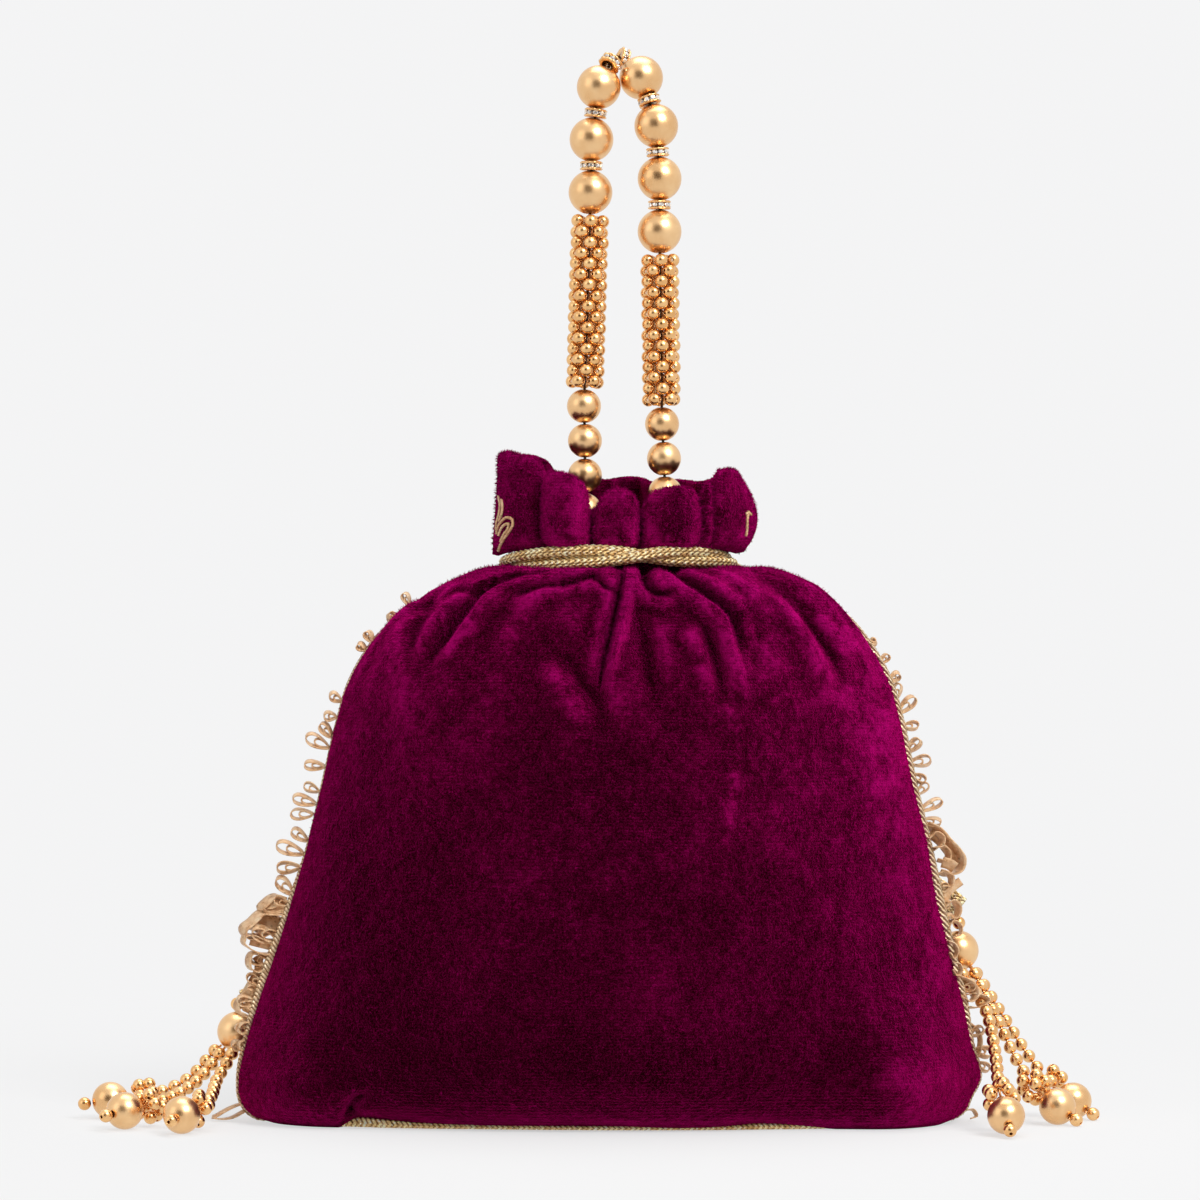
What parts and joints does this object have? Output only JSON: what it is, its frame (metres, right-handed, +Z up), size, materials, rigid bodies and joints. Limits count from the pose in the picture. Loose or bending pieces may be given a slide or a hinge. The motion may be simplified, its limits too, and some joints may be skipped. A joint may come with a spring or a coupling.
{
  "type": "potli bag",
  "caption": "Gathered velvet drawstring pouch with a frilled mouth, braided seams, bead tassels and a carrying loop of strung beads.",
  "frame": {"origin": "centre of the base on the surface that the bag stands on", "axes": "+X across the bag to the right as the picture shows it, +Y away from the viewer towards the trimmed front, +Z up"},
  "size_m": [0.2927, 0.0852, 0.3079],
  "materials": {
    "velvet": "dark plum velvet with a magenta sheen",
    "bead_gold": "satin gold-coated beads",
    "cord_gold": "braided gold metallic thread",
    "stone_ring": "gold rings set with clear stones"
  },
  "bodies": {
    "bag": {"anchor_bead_left": "bead_gold", "anchor_bead_right": "bead_gold", "back_panel": "velvet", "drawstring_tail_left_a": "cord_gold", "drawstring_tail_left_b": "cord_gold", "drawstring_tail_right_a": "cord_gold", "drawstring_tail_right_b": "cord_gold", "drawstring_wrap_lower": "cord_gold", "drawstring_wrap_upper": "cord_gold", "front_panel": "velvet", "handle_anchor_left": "cord_gold", "handle_anchor_right": "cord_gold", "seam_braid": "cord_gold", "tassel_bead_left": "bead_gold", "tassel_bead_right": "bead_gold", "tassel_collar_left": "bead_gold", "tassel_collar_right": "bead_gold", "tassel_end_bead_left_1": "bead_gold", "tassel_end_bead_left_2": "bead_gold", "tassel_end_bead_left_3": "bead_gold", "tassel_end_bead_right_1": "bead_gold", "tassel_end_bead_right_2": "bead_gold", "tassel_end_bead_right_3": "bead_gold", "tassel_string_left_1": "bead_gold", "tassel_string_left_2": "bead_gold", "tassel_string_left_3": "bead_gold", "tassel_string_right_1": "bead_gold", "tassel_string_right_2": "bead_gold", "tassel_string_right_3": "bead_gold", "tassel_tip_left_1": "bead_gold", "tassel_tip_left_2": "bead_gold", "tassel_tip_left_3": "bead_gold", "tassel_tip_right_1": "bead_gold", "tassel_tip_right_2": "bead_gold", "tassel_tip_right_3": "bead_gold"},
    "handle": {"bead_tube_left": "bead_gold", "bead_tube_right": "bead_gold", "big_bead_left_1": "bead_gold", "big_bead_left_2": "bead_gold", "big_bead_left_3": "bead_gold", "big_bead_right_1": "bead_gold", "big_bead_right_2": "bead_gold", "big_bead_right_3": "bead_gold", "big_bead_right_4": "bead_gold", "handle_thread": "cord_gold", "middle_bead_left_1": "bead_gold", "middle_bead_left_2": "bead_gold", "middle_bead_left_3": "bead_gold", "middle_bead_right_1": "bead_gold", "middle_bead_right_2": "bead_gold", "middle_bead_right_3": "bead_gold", "rondelle_left_1": "stone_ring", "rondelle_left_2": "stone_ring", "rondelle_left_3": "stone_ring", "rondelle_right_1": "stone_ring", "rondelle_right_2": "stone_ring", "rondelle_right_3": "stone_ring", "rondelle_right_4": "stone_ring"}
  },
  "joints": [
    {"name": "handle_swing", "type": "hinge", "parent": "bag", "child": "handle", "pos_m": [-0.0076, 0, 0.1846], "axis": [0.9761, 0, -0.2174], "range_deg": [-52, 52]}
  ]
}
